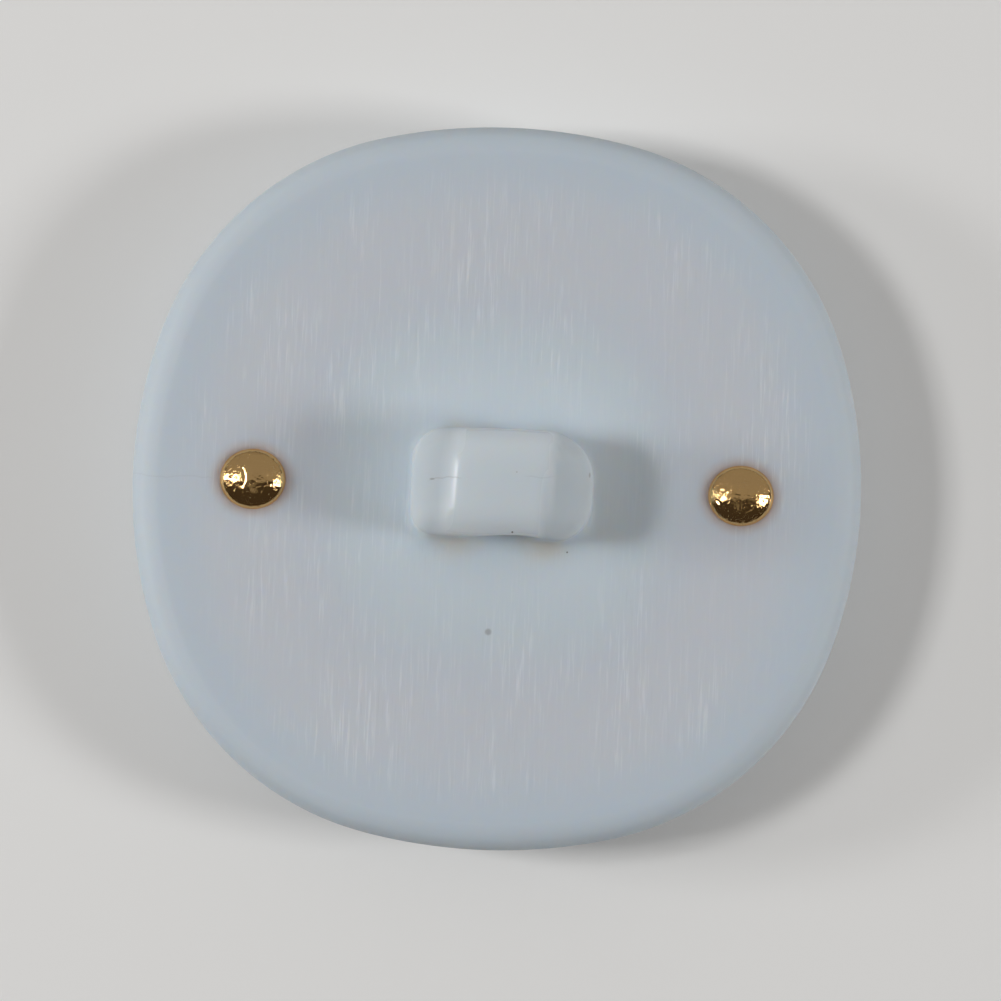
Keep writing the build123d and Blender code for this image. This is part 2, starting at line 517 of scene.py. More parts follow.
def pull_disc(bm, ring):
    """Pulls the disc out of the shank's foot and closes its front."""
    foot = ring
    for share in (0.12, 0.4, 0.7):
        ring = pull_ring(bm, ring, mixed_places(foot, back_profile[0][0], share, BACK))
    ring = pull_profile(bm, ring, back_profile + rim_profile + front_profile)

    inner_inset = groove_inner + HOLD
    middle = crown_patch(bm)
    for share in (0.85, 0.6, 0.3):
        ring = pull_ring(bm, ring, mixed_places(middle, inner_inset, share))
    bmesh.ops.bridge_loops(bm, edges=ring_edges(bm, ring) + ring_edges(bm, middle))


pull_disc(body_mesh, foot_ring)
print("disc and shank:", len(body_mesh.faces), "faces")

# %% [markdown]
# ## Rivet holes
# A hole in a mesh that will be subdivided is opened round one vertex. The four squares round it go,
# and their eight outer vertices are moved onto a circle. A creased edge stays sharp when it is
# subdivided. Eight vertices round off to a slightly smaller circle, so they are set a little wide.

# %% Open the rivet holes
HOLE_RADIUS = 0.85 * MM
STEM_RADIUS = 0.8 * MM
EIGHT_SHRINK = (2 + math.cos(math.radians(45))) / 3  # how much a creased ring of eight draws in


def open_hole(bm, centre, radius):
    """Opens a round hole about the vertex nearest to a place. Gives back its eight vertices."""
    middle = min(bm.verts, key=lambda vert: (vert.co - Vector(centre)).length)
    around = {vert for face in middle.link_faces for vert in face.verts} - {middle}
    bmesh.ops.delete(bm, geom=[middle], context="VERTS")
    ring = sorted_ring(around, centre)
    for step, vert in enumerate(ring):
        angle = math.tau * step / len(ring)
        vert.co.x = centre[0] + radius / EIGHT_SHRINK * math.cos(angle)
        vert.co.y = centre[1] + radius / EIGHT_SHRINK * math.sin(angle)
    crease = bm.edges.layers.float.get("crease_edge") or bm.edges.layers.float.new("crease_edge")
    for edge in ring_edges(bm, ring):
        edge[crease] = 1.0
    return ring


for side in (-1, 1):
    top = open_hole(body_mesh, (side * RIVET_X, 0, BACK), HOLE_RADIUS)
    bottom = open_hole(body_mesh, (side * RIVET_X, 0, GROOVE_FLOOR), HOLE_RADIUS)
    both_ends = ring_edges(body_mesh, top) + ring_edges(body_mesh, bottom)
    bmesh.ops.bridge_loops(body_mesh, edges=both_ends)
print("holes opened:", len(body_mesh.faces), "faces")

# %% [markdown]
# ## Finishing the body's mesh
# The body gets four numbers at each vertex that its finish will need: how far it lies inside the
# edge, how much painted shade it gets at the shank's foot and painted shadow beside its right end,
# how polished it is, and how much painted shade it gets on the shank's sloping ends. The
# Subdivision Surface spreads the numbers over the new vertices as it does the shape.

# %% Finish the body
body = finish_mesh(body_mesh, "white_body", 2)


def store_number(piece, name, number_at):
    """Writes a number for each vertex of a piece as an attribute."""
    values = [number_at(vert.co) for vert in piece.data.vertices]
    attribute = piece.data.attributes.new(name, "FLOAT", "POINT")
    attribute.data.foreach_set("value", values)
    print(f"{piece.name}: {name} from {min(values):.2f} to {max(values):.2f}")


# Patches of painted shade where the shank meets the disc; the last is a painted shadow on its right.
PAINTED_SHADE_PATCHES = (  # place, length, width and strength of each brownish patch, in millimetres
    (-1.41, -2.20, 0.80, 0.34, 0.9),
    (1.80, -2.22, 0.80, 0.36, 1.0),
    (-1.56, 2.30, 0.45, 0.22, 0.6),
    (3.95, -0.10, 0.80, 1.60, 0.35),
)


def foot_shade(place):
    """1 amid painted shade at the shank's foot or painted shadow beside it, fading to 0 round it."""
    low = clamped(1.4 - (place.z - BACK) / (0.6 * MM))
    shade = 0.0
    for x, y, long, wide, strength in PAINTED_SHADE_PATCHES:
        reach = math.hypot((place.x / MM - x) / long, (place.y / MM - y) / wide)
        shade = max(shade, strength * math.exp(-(reach**4) * 0.7))
    return shade * low


def shank_polish(place):
    """1 on the polished top of the shank between its two ridges, 0 on its ends and on the disc."""
    x, y, height = (place - SHANK_CENTRE) / MM
    past_right, past_left = past_ridges(x, y, 1.92, 1.97)
    return clamped(-past_left / 0.15) * clamped(-past_right / 0.30) * clamped(height - 2.4)


def end_shade(place):
    """Painted shade: 1 on the shank's sloping right end, a little less on its left end, 0 elsewhere.
    """
    x, y, height = (place - SHANK_CENTRE) / MM
    past_right, past_left = past_ridges(x, y, 1.64, 1.92)
    return max(clamped(past_right / 0.30), 0.95 * clamped(past_left / 0.40)) * clamped(height - 1.0)


store_number(body, "rim_distance", lambda place: rim_distance(place.x, place.y) / MM)
store_number(body, "foot_shade", foot_shade)
store_number(body, "polish", shank_polish)
store_number(body, "end_shade", end_shade)

# %% [markdown]
# ## The gold ring
# The ring is a band with a softly rounded crest, which is what the button rests on here. Its ring of
# vertices is pulled through its own cross-section until it meets itself. The rivets' tips sit in two
# blind sockets in its back.

# %% Gold ring
RING_CREST = 1.0 * MM
SOCKET_DEPTH = GROOVE_FLOOR - rivet_low.z
RING_EDGE = 0.06 * MM

ring_outer = RING_INSET
ring_inner = RING_INSET + RING_WIDTH


def gold_ring():
    """The front ring with its two sockets."""
    bm = bmesh.new()
    bmesh.ops.create_circle(bm, segments=SPOKES, radius=RING_WIDTH)
    first = sorted_ring(bm.verts)
    for vert, angle in zip(first, spoke_angles):
        vert.co = outline_point(angle, ring_outer + RING_CREST, ring_low.z)
    profile = [
        *quarter_arc(ring_outer + RING_CREST, ring_low.z + RING_CREST, RING_CREST, 4, -90, 90),
        (ring_outer, GROOVE_FLOOR - RING_EDGE),
        (ring_outer + RING_EDGE, GROOVE_FLOOR),
        (RING_MIDDLE - HOLE_SPREAD, GROOVE_FLOOR),
        (RING_MIDDLE, GROOVE_FLOOR),
        (RING_MIDDLE + HOLE_SPREAD, GROOVE_FLOOR),
        (ring_inner - RING_EDGE, GROOVE_FLOOR),
        (ring_inner, GROOVE_FLOOR - RING_EDGE),
        (ring_inner, ring_low.z + RING_CREST),
        *quarter_arc(ring_inner - RING_CREST, ring_low.z + RING_CREST, RING_CREST, 4, 180, 90),
        (RING_MIDDLE, ring_low.z),
    ]
    last = pull_profile(bm, first, profile)
    bmesh.ops.bridge_loops(bm, edges=ring_edges(bm, first) + ring_edges(bm, last))
    for side in (-1, 1):
        mouth = open_hole(bm, (side * RIVET_X, 0, GROOVE_FLOOR), STEM_RADIUS)
        floor_places = [vert.co - Vector((0, 0, SOCKET_DEPTH)) for vert in mouth]
        bottom = pull_ring(bm, mouth, floor_places)
        bmesh.ops.contextual_create(bm, geom=ring_edges(bm, bottom))
    return finish_mesh(bm, "gold_ring", 2)


ring = gold_ring()

# %% [markdown]
# ## The rivets
# Each rivet is turned from one cross-section: a stem, a thin skirt where the head was pressed onto
# the plastic, and a low dome. The tool that closed it left the head slightly oval, with dents and
# creases that catch the light, and no two rivets have the same ones.

# %% Rivet marks
HEAD_RADIUS = 1.12 * MM
SKIRT_TOP = 0.16 * MM


def pit(x, y, at, radius, depth):
    """Depth of a round dent at a point of the head."""
    distance = math.hypot(x - at[0] * MM, y - at[1] * MM) / (radius * MM)
    return depth * MM * math.exp(-(distance**2) * 2)


def scored(x, y, start, end, width, depth):
    """Depth of a straight scored line at a point of the head."""
    start, end, here = Vector(start) * MM, Vector(end) * MM, Vector((x, y))
    share = clamped((here - start).dot(end - start) / (end - start).length_squared)
    distance = (here - start.lerp(end, share)).length / (width * MM)
    return depth * MM * math.exp(-(distance**2) * 2)


def hooked(x, y, centre, size, open_side, width, depth):
    """Depth of a curved mark: most of an oval that is open on one side, given in degrees."""
    dx, dy = (x / MM - centre[0]) / size[0], (y / MM - centre[1]) / size[1]
    off_open = abs((math.degrees(math.atan2(dy, dx)) - open_side + 180) % 360 - 180)
    distance = (math.hypot(dx, dy) - 1) * min(size) / width
    return clamped((off_open - 40) / 40) * depth * MM * math.exp(-(distance**2) * 2)


LEFT_PITS = (  # place, radius and depth in millimetres
    ((-0.13, 0.34), 0.07, 0.016),
    ((-0.19, 0.45), 0.05, 0.012),
    ((0.28, 0.08), 0.06, 0.014),
    ((0.44, 0.19), 0.06, 0.010),
    ((0.18, 0.20), 0.05, 0.010),
    ((0.30, -0.06), 0.05, 0.010),
    ((0.12, 0.02), 0.05, 0.008),
    ((-0.10, -0.25), 0.09, 0.020),
    ((-0.24, 0.36), 0.05, 0.014),
    ((-0.30, 0.50), 0.06, 0.012),
    ((0.36, 0.02), 0.04, 0.012),
    ((0.22, -0.04), 0.06, 0.020),
    ((0.50, 0.30), 0.05, 0.010),
    ((0.60, 0.12), 0.05, 0.010),
    ((0.70, 0.36), 0.06, 0.010),
    ((-0.62, 0.00), 0.10, 0.020),
    ((-0.84, -0.03), 0.09, 0.026),
    ((0.92, -0.14), 0.08, 0.020),
    ((0.74, -0.22), 0.07, 0.014),
)
LEFT_SCORED = (  # start, end, width and depth in millimetres
    ((0.02, -0.34), (0.62, -0.22), 0.06, 0.012),
    ((-0.34, 0.66), (0.24, 0.74), 0.07, 0.010),
    ((0.48, 0.52), (0.80, 0.22), 0.06, 0.010),
    ((-0.30, -0.55), (-0.28, -0.95), 0.06, 0.016),
    ((0.34, -0.50), (0.30, -0.90), 0.06, 0.014),
)
RIGHT_PITS = (
    ((-0.84, -0.06), 0.09, 0.020),
    ((0.80, -0.20), 0.14, 0.018),
    ((1.02, -0.03), 0.06, 0.024),
)
RIGHT_SCORED = (  # below nought the depth is a raised fold
    ((-1.05, 0.02), (-0.70, 0.01), 0.05, 0.016),
    ((-0.60, 0.01), (0.80, -0.03), 0.06, 0.005),
    ((0.80, -0.03), (1.08, -0.05), 0.05, 0.016),
    ((-0.76, 0.12), (-0.22, 0.64), 0.045, 0.020),
    ((-0.60, 0.08), (-0.40, 0.34), 0.035, 0.014),
    ((-0.70, 0.00), (-0.14, 0.50), 0.05, -0.010),
    ((-0.92, -0.22), (-0.50, -0.66), 0.06, 0.022),
    ((0.16, -0.68), (0.40, -0.56), 0.05, 0.022),
    ((0.40, -0.56), (0.50, -0.34), 0.05, 0.020),
    ((-0.08, 0.60), (0.28, 0.55), 0.05, 0.020),
    ((-0.30, 0.80), (0.34, 0.76), 0.07, 0.010),
    ((0.62, 0.56), (0.84, 0.14), 0.07, 0.014),
    ((0.03, -0.16), (0.04, -0.62), 0.11, -0.014),
)


def left_marks(x, y):
    """Depth of the left rivet's marks: a hooked dent, a scatter of pits and some scored lines."""
    depth = hooked(x, y, (-0.42, 0.02), (0.15, 0.36), 150, 0.045, 0.030)
    depth += sum(pit(x, y, *mark) for mark in LEFT_PITS)
    return depth + sum(scored(x, y, *mark) for mark in LEFT_SCORED)


def right_marks(x, y):
    """Depth of the right rivet's marks: a crease straight across, a fold above it and some nicks."""
    depth = sum(scored(x, y, *mark) for mark in RIGHT_SCORED)
    return depth + sum(pit(x, y, *mark) for mark in RIGHT_PITS)


print(f"left rivet: {len(LEFT_PITS)} pits; right rivet: {len(RIGHT_SCORED)} scored lines and folds")

# %% [markdown]
# ## Turning a rivet
# A thing that was made on a lathe is modelled like one. The cross-section is a chain of vertices on
# one side of the axis, and `spin` carries it round in small steps. A full turn ends where it began,
# so `use_merge` joins the two ends, and the points on the axis itself are merged afterwards. The
# dome has many rings, because the small marks need vertices to move.

# %% Turned rivet
TIP_CHAMFER = 0.1 * MM
SKIRT = ((1.25, 0.0), (1.245, 0.012), (1.225, 0.04), (1.19, 0.085), (1.155, 0.125))  # mm
TURN_STEPS = 144
DOME_RINGS = 48


def head_profile():
    """Cross-section of a rivet from the tip of its stem to the crown of its head."""
    tip = rivet_low.z - BACK
    points = [
        (0.0, tip),
        (STEM_RADIUS - TIP_CHAMFER, tip),
        (STEM_RADIUS, tip + TIP_CHAMFER),
        (STEM_RADIUS, 0.0),
    ]
    points += [(radius * MM, height * MM) for radius, height in SKIRT]
    rise = HEAD_HEIGHT - SKIRT_TOP
    ball = (HEAD_RADIUS**2 + rise**2) / (2 * rise)
    for number in range(DOME_RINGS + 1):
        radius = HEAD_RADIUS * (1 - number / DOME_RINGS)
        points.append((radius, HEAD_HEIGHT - ball + math.sqrt(ball**2 - radius**2)))
    slope = math.degrees(math.asin(HEAD_RADIUS / ball))
    print(f"dome rises {rise / MM:.2f} mm, its edge slopes {slope:.0f} degrees")
    return points


def turned_rivet():
    """A rivet turned from its cross-section, about the Z axis."""
    bm = bmesh.new()
    verts = [bm.verts.new((radius, 0, height)) for radius, height in head_profile()]
    edges = [bm.edges.new(pair) for pair in zip(verts, verts[1:])]
    bmesh.ops.spin(
        bm,
        geom=verts + edges,
        axis=(0, 0, 1),
        cent=(0, 0, 0),
        angle=math.tau,
        steps=TURN_STEPS,
        use_merge=True,
    )
    bmesh.ops.remove_doubles(bm, verts=bm.verts[:], dist=0.0005 * MM)
    return bm


# %% [markdown]
# ## Marking and placing the rivets
# Every vertex of a dome is lowered by the depth of the marks at its place and by a faint unevenness
# made of noise. Both fade out at the dome's edge, so that the skirt stays true. Then the head is
# drawn in to its slight oval and the rivet moves to its place.

# %% Rivets
HEAD_OVAL = 0.92  # width across the button over width along it
UNEVENNESS = ((2.2, 0.018), (6.0, 0.006))  # waves per millimetre, and depth in millimetres


def rivet(name, side, marks, lean):
    """One rivet in its place, with its own marks and its own lean of the crown across the button."""
    bm = turned_rivet()
    for vert in bm.verts:
        if vert.co.z >= SKIRT_TOP * 0.95:
            x, y = vert.co.x, vert.co.y
            inward = max(0.0, 1 - math.hypot(x, y) / HEAD_RADIUS)
            depth = marks(x, y)
            for waves, height in UNEVENNESS:
                spot = Vector((x / MM, y / MM, side)) * waves
                depth += abs(noise.noise(spot)) * height * MM
            vert.co.z -= depth * min(1.0, inward * 8)
            vert.co.z += lean * y * min(1.0, inward * 3)
            vert.co.z = min(vert.co.z, HEAD_HEIGHT)
        if vert.co.z >= 0:
            vert.co.y *= HEAD_OVAL
    bmesh.ops.translate(bm, verts=bm.verts[:], vec=(side * RIVET_X, 0, BACK))
    return finish_mesh(bm, name, 0)


left_rivet = rivet("gold_rivet_left", -1, left_marks, 0.0)
right_rivet = rivet("gold_rivet_right", 1, right_marks, -0.03)

# %% [markdown]
# ## Joining the frame
# Each new piece rides on the design's one body and stands for the design's own piece, which is
# hidden. Its finish, the material named here, is given further down.

# %% Ride and replace
for piece, node, slot in (
    (body, "body", "milk_white_plastic"),
    (ring, "front_ring", "gold_plate"),
    (left_rivet, "rivet_left", "gold_plate"),
    (right_rivet, "rivet_right", "gold_plate"),
):
    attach(piece, "root")
    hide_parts(node)

# %% [markdown]
# ## Material helpers
# A material is a small machine of nodes. `add` makes a node, sets its properties and feeds its
# inputs. An input takes a plain value or another node's output, so that each material below reads
# as a list of what it does.

# %% Node helpers


def feed(tree, node, inputs):
    """Feeds a node's inputs, each with a plain value or with another node's output."""
    for socket, value in inputs.items():
        if isinstance(value, bpy.types.NodeSocket):
            tree.links.new(value, node.inputs[socket])
        else:
            node.inputs[socket].default_value = value


def add(tree, kind, inputs=None, **settings):
    """Adds a node with its own properties and inputs."""
    node = tree.nodes.new(kind)
    for name, value in settings.items():
        setattr(node, name, value)
    feed(tree, node, inputs or {})
    return node


def maths(tree, operation, first, second=0.0, clamp=False):
    """One sum on one or two numbers. Gives back the result."""
    sums = add(tree, "ShaderNodeMath", {0: first, 1: second}, operation=operation, use_clamp=clamp)
    return sums.outputs[0]


def times(tree, first, second):
    """One number times another."""
    return maths(tree, "MULTIPLY", first, second)


def span(tree, value, low, high, to_low=0.0, to_high=1.0):
    """Turns one range of a number into another, with soft ends."""
    ends = {"Value": value, "From Min": low, "From Max": high, "To Min": to_low, "To Max": to_high}
    node = add(tree, "ShaderNodeMapRange", ends, interpolation_type="SMOOTHSTEP")
    return node.outputs["Result"]


def mix_colour(tree, share, first, second):
    """Mixes two colours by a share. Gives back the result."""
    node = add(tree, "ShaderNodeMix", {0: share, 6: first, 7: second}, data_type="RGBA")
    return node.outputs[2]


def stretched_noise(tree, vector, waves, detail=2.0, roughness=0.5):
    """Noise in the piece's own space, with a separate number of waves per metre along each axis."""
    mapped = add(tree, "ShaderNodeMapping", {"Vector": vector, "Scale": waves}).outputs[0]
    grain = {"Vector": mapped, "Scale": 1.0, "Detail": detail, "Roughness": roughness}
    return add(tree, "ShaderNodeTexNoise", grain).outputs["Fac"]


def stored(tree, name):
    """A number that was written for each vertex of the piece."""
    return add(tree, "ShaderNodeAttribute", attribute_name=name).outputs["Fac"]


def relief_on(tree, shader, height, strength, distance):
    """Makes a height mask into fine relief on the shader's surface."""
    bump = add(tree, "ShaderNodeBump", {"Height": height, "Strength": strength, "Distance": distance})
    feed(tree, shader, {"Normal": bump.outputs["Normal"]})


def new_material(name):
    """A new material with a Principled shader. Gives back the material, its tree and the shader."""
    material = bpy.data.materials.new(name)
    material.use_nodes = True
    tree = material.node_tree
    tree.nodes.clear()
    shader = add(tree, "ShaderNodeBsdfPrincipled")
    add(tree, "ShaderNodeOutputMaterial", {"Surface": shader.outputs["BSDF"]})
    return material, tree, shader


# %% [markdown]
# ## Fine scratches
# Handling leaves fine scratches in the gold. They are a node group, so that another finish could
# take them too: thin lines where a stretched noise crosses its middle value. A material says how
# long, how close and in which direction its scratches run, through the vector that it hands in.

# %% Scratch group


def scratch_group():
    """A node group that turns a vector into a mask of thin scratches."""
    group = bpy.data.node_groups.new("fine_scratches", "ShaderNodeTree")
    group.interface.new_socket("Vector", in_out="INPUT", socket_type="NodeSocketVector")
    group.interface.new_socket("Thinness", in_out="INPUT", socket_type="NodeSocketFloat")
    group.interface.new_socket("Mask", in_out="OUTPUT", socket_type="NodeSocketFloat")
    start = add(group, "NodeGroupInput")
    grain = {"Vector": start.outputs["Vector"], "Scale": 1.0, "Detail": 3.0, "Roughness": 0.6}
    lines = add(group, "ShaderNodeTexNoise", grain)
    off_middle = maths(group, "ABSOLUTE", maths(group, "SUBTRACT", lines.outputs["Fac"], 0.5))
    thin = times(group, off_middle, start.outputs["Thinness"])
    add(group, "NodeGroupOutput", {"Mask": maths(group, "SUBTRACT", 1.0, thin, clamp=True)})
    return group


FINE_SCRATCHES = scratch_group()


def scratches(tree, vector, waves, thinness):
    """Places the scratch group in a material. Gives back its mask."""
    mapped = add(tree, "ShaderNodeMapping", {"Vector": vector, "Scale": waves}).outputs[0]
    inputs = {"Vector": mapped, "Thinness": thinness}
    return add(tree, "ShaderNodeGroup", inputs, node_tree=FINE_SCRATCHES).outputs["Mask"]


# %% [markdown]
# ## Milk-white plastic
# The plastic lets a little light in and scatters it. Its colour has light painted into it too: at
# the edge a painted shade, where the light leaks away, makes the white darker and faintly blue, the
# gold ring behind it shows through as a painted warm glow in a slightly warmer band, and close to
# the rivets the gold's own orange glows through as a painted glow.

# %% Plastic colours
CENTRE_WHITE = (0.64, 0.715, 0.77)
# The ramp paints light: its darker bluish rim is painted shade, its warmer band a painted glow.
RIM_SHADE_AND_RING_GLOW = (  # distance from the edge in millimetres, and how much red, green and blue stay
    (0.0, (0.70, 0.735, 0.77)),
    (0.45, (0.83, 0.865, 0.90)),
    (1.25, (0.88, 0.90, 0.935)),
    (2.25, (0.93, 0.92, 0.94)),
    (3.25, (0.965, 0.925, 0.93)),
    (5.2, (0.975, 0.922, 0.925)),
    (6.8, (0.95, 0.92, 0.935)),
    (8.2, (0.96, 0.96, 0.96)),
    (10.0, (1.0, 1.0, 1.0)),
)
RIVET_GLOW = (0.60, 0.30, 0.12, 1)
# Colour of the painted shade at the shank's foot and of the painted shadow beside it.
PAINTED_FOOT_SHADE = (0.68, 0.68, 0.65, 1)
# Colour of the painted shade on the shank's sloping ends.
PAINTED_END_SHADE = (0.505, 0.58, 0.635, 1)


def rim_shade_and_glow_colour(tree, distance):
    """Painted bluish shade at the rim, a painted warm glow of the ring in a band, clear middle."""
    reach = RIM_SHADE_AND_RING_GLOW[-1][0]
    ramp = add(tree, "ShaderNodeValToRGB", {"Fac": maths(tree, "DIVIDE", distance, reach)})
    elements = ramp.color_ramp.elements
    while len(elements) < len(RIM_SHADE_AND_RING_GLOW):
        elements.new(0.5)
    for element, (place, share) in zip(elements, RIM_SHADE_AND_RING_GLOW):
        element.position = place / reach
        element.color = [white * part for white, part in zip(CENTRE_WHITE, share)] + [1]
    return ramp.outputs["Color"]


def vector_maths(tree, operation, first, second=(0, 0, 0)):
    """One sum on vectors. Gives back the node, whose result may be a vector or a number."""
    return add(tree, "ShaderNodeVectorMath", {0: first, 1: second}, operation=operation)


def distance_to(tree, place, centre, weights):
    """Distance from a place in millimetres, with each axis weighed by its own number."""
    away = vector_maths(tree, "SUBTRACT", place, centre).outputs[0]
    weighed = vector_maths(tree, "MULTIPLY", away, [weight / MM for weight in weights]).outputs[0]
    return vector_maths(tree, "LENGTH", weighed).outputs["Value"]


def rivet_nearness(tree, place):
    """1 at the rivets' skirts and 0 a short way out on the plastic."""
    folded = vector_maths(tree, "ABSOLUTE", place).outputs[0]
    distance = distance_to(tree, folded, (RIVET_X, 0, 0), (1, 1 / HEAD_OVAL, 0))
    return span(tree, distance, 1.1, 1.8, 1.0, 0.0)


# %% [markdown]
# ## Marks of the mould
# The mould's flat face was finished with straight strokes of an abrasive, and the plastic has copied
# them as fine lines that all run one way. Their lighter and darker colour paints the glints and the
# shade that light makes on them. They stop short of the rounded edge. Two halves of the mould met
# across the shank and left a hair-thin line there and at the edge. A few specks of dirt are fixed in
# the plastic.

# %% Mould marks


def back_face(tree, height):
    """1 on the flat back face, 0 on the shank and round the edge."""
    above_edge = span(tree, height, BACK - 0.06 * MM, BACK - 0.01 * MM)
    below_shank = span(tree, height, BACK + 0.03 * MM, BACK + 0.15 * MM, 1.0, 0.0)
    return times(tree, above_edge, below_shank)


def mould_strokes(tree, place, distance, height):
    """Fine straight lines on the back face, in patches. Gives masks of painted glints and painted
    shade.
    """
    patches = span(tree, stretched_noise(tree, place, (330, 210, 300), 2.0), 0.35, 0.70, 0.12, 1.0)
    inside = times(tree, span(tree, distance, 1.3, 2.4), back_face(tree, height))
    where = times(tree, patches, inside)
    fine = stretched_noise(tree, place, (11500, 560, 100), 2.0, 0.55)
    light = times(tree, span(tree, fine, 0.50, 0.74), where)
    dark = times(tree, span(tree, fine, 0.40, 0.24), where)
    return light, dark


def between(tree, value, low, high, soft):
    """1 between two values, with soft ends."""
    past_low = span(tree, value, low, low + soft)
    return times(tree, past_low, span(tree, value, high, high - soft))


def parting_line(tree, place, height):
    """The mould's parting line: two stretches on top of the shank and one at the left edge."""
    split = add(tree, "ShaderNodeSeparateXYZ", {0: place})
    x, y = split.outputs["X"], split.outputs["Y"]
    wander = stretched_noise(tree, place, (900, 10, 10), 3.0)
    wander = times(tree, maths(tree, "SUBTRACT", wander, 0.5), 0.50 * MM)
    y = maths(tree, "ADD", y, wander)
    off_line = maths(tree, "SUBTRACT", y, times(tree, x, 0.055))
    off_line = maths(tree, "ABSOLUTE", maths(tree, "SUBTRACT", off_line, 0.28 * MM))
    line = span(tree, off_line, 0.010 * MM, 0.035 * MM, 1.0, 0.0)
    left = between(tree, x, -2.65 * MM, -1.25 * MM, 0.3 * MM)
    right = times(tree, between(tree, x, 0.9 * MM, 2.3 * MM, 0.4 * MM), 0.45)
    on_shank = span(tree, height, BACK + 1.0 * MM, BACK + 2.0 * MM)
    stretches = times(tree, line, maths(tree, "ADD", left, right))
    over_shank = times(tree, stretches, on_shank)

    at_middle = span(tree, maths(tree, "ABSOLUTE", y), 0.012 * MM, 0.045 * MM, 0.35, 0.0)
    at_edge = times(tree, at_middle, between(tree, x, -15 * MM, -10.6 * MM, 0.6 * MM))
    return maths(tree, "MAXIMUM", over_shank, at_edge)


SPECKS = (  # place and size on the shank or the disc, in millimetres, and darkness
    ((-2.43, 0.13, 3.6), (0.13, 0.05), 0.35),
    ((3.47, 0.49, 2.6), (0.05, 0.13), 0.35),
    ((0.73, 0.48, 4.0), (0.035, 0.035), 0.35),
    ((0.64, -1.76, 3.6), (0.05, 0.05), 0.8),
    ((2.76, -2.38, 0.0), (0.045, 0.045), 0.8),
    ((-0.14, -5.51, 0.0), (0.17, 0.17), 0.35),
)


def speck_mask(tree, place):
    """Dark specks fixed in the plastic."""
    total = None
    for (x, y, z), (long, wide), darkness in SPECKS:
        away = distance_to(tree, place, (x * MM, y * MM, BACK + z * MM), (1 / long, 1 / wide, 0.5))
        spot = span(tree, away, 0.4, 1.0, darkness, 0.0)
        total = spot if total is None else maths(tree, "MAXIMUM", total, spot)
    return total


# %% [markdown]
# ## The plastic's finish
# The colour is built up in layers from the large to the small: the painted rim shade and ring glow
# by distance from the edge, faint clouds, the painted glow at the rivets, the painted shade at the
# shank's feet and ends with the painted shadow beside it, and last the mould's strokes with their
# painted glints and shade, the line and the specks. The flat back is dull from the abrasive and only
# the top of the shank is polished. Subsurface scattering sends light through the plastic, and so
# softens every shadow.

# %% Plastic material
CLOUD_GREY = (0.60, 0.62, 0.60, 1)
STROKE_PAINTED_GLINT = (0.95, 0.98, 1.0, 1)
STROKE_PAINTED_SHADE = (0.30, 0.33, 0.35, 1)
LINE_GREY = (0.22, 0.23, 0.24, 1)
SPECK_BROWN = (0.06, 0.05, 0.04, 1)
DULL, POLISHED = 0.62, 0.24  # roughness of the back and of the shank's top


def milk_white_plastic():
    """The body's finish."""
    material, tree, shader = new_material("milk_white_plastic")
    place = add(tree, "ShaderNodeTexCoord").outputs["Object"]
    height = add(tree, "ShaderNodeSeparateXYZ", {0: place}).outputs["Z"]
    distance = stored(tree, "rim_distance")

    colour = rim_shade_and_glow_colour(tree, distance)
    clouds = span(tree, stretched_noise(tree, place, (260, 200, 260), 3.0), 0.3, 0.7)
    colour = mix_colour(tree, times(tree, clouds, 0.05), colour, CLOUD_GREY)
    glow = times(tree, rivet_nearness(tree, place), back_face(tree, height))
    colour = mix_colour(tree, times(tree, glow, 0.46), colour, RIVET_GLOW)
    # Painted shade at the shank's foot and painted shadow beside its right end.
    colour = mix_colour(tree, stored(tree, "foot_shade"), colour, PAINTED_FOOT_SHADE)
    # Painted shade on the shank's sloping ends.
    colour = mix_colour(tree, stored(tree, "end_shade"), colour, PAINTED_END_SHADE)

    light, dark = mould_strokes(tree, place, distance, height)
    # The strokes' lighter lines are painted glints and their darker lines painted shade.
    colour = mix_colour(tree, times(tree, light, 0.30), colour, STROKE_PAINTED_GLINT)
    colour = mix_colour(tree, times(tree, dark, 0.10), colour, STROKE_PAINTED_SHADE)
    line = parting_line(tree, place, height)
    colour = mix_colour(tree, times(tree, line, 0.22), colour, LINE_GREY)
    colour = mix_colour(tree, speck_mask(tree, place), colour, SPECK_BROWN)

    smoother = times(tree, stored(tree, "polish"), DULL - POLISHED)
    roughness = maths(tree, "SUBTRACT", DULL, smoother)
    roughness = maths(tree, "ADD", roughness, times(tree, light, 0.1))
    relief_on(tree, shader, maths(tree, "SUBTRACT", light, line), 0.35, 0.01 * MM)

    feed(tree, shader, {"Base Color": colour, "Roughness": roughness, "IOR": 1.5})
    feed(tree, shader, {"Subsurface Weight": 0.88, "Subsurface Scale": 2.6 * MM})
    feed(tree, shader, {"Subsurface Radius": (1.0, 0.72, 0.52)})
    return material


# %% [markdown]
# ## Gold plating
# The plating is thin and bright over a softer metal. It is a mirror with a warm colour, a little
# rougher in patches where it has been handled, with faint dimples, pinholes and fine scratches.

# %% Gold plating
WARM_GOLD = (0.76, 0.50, 0.215, 1)


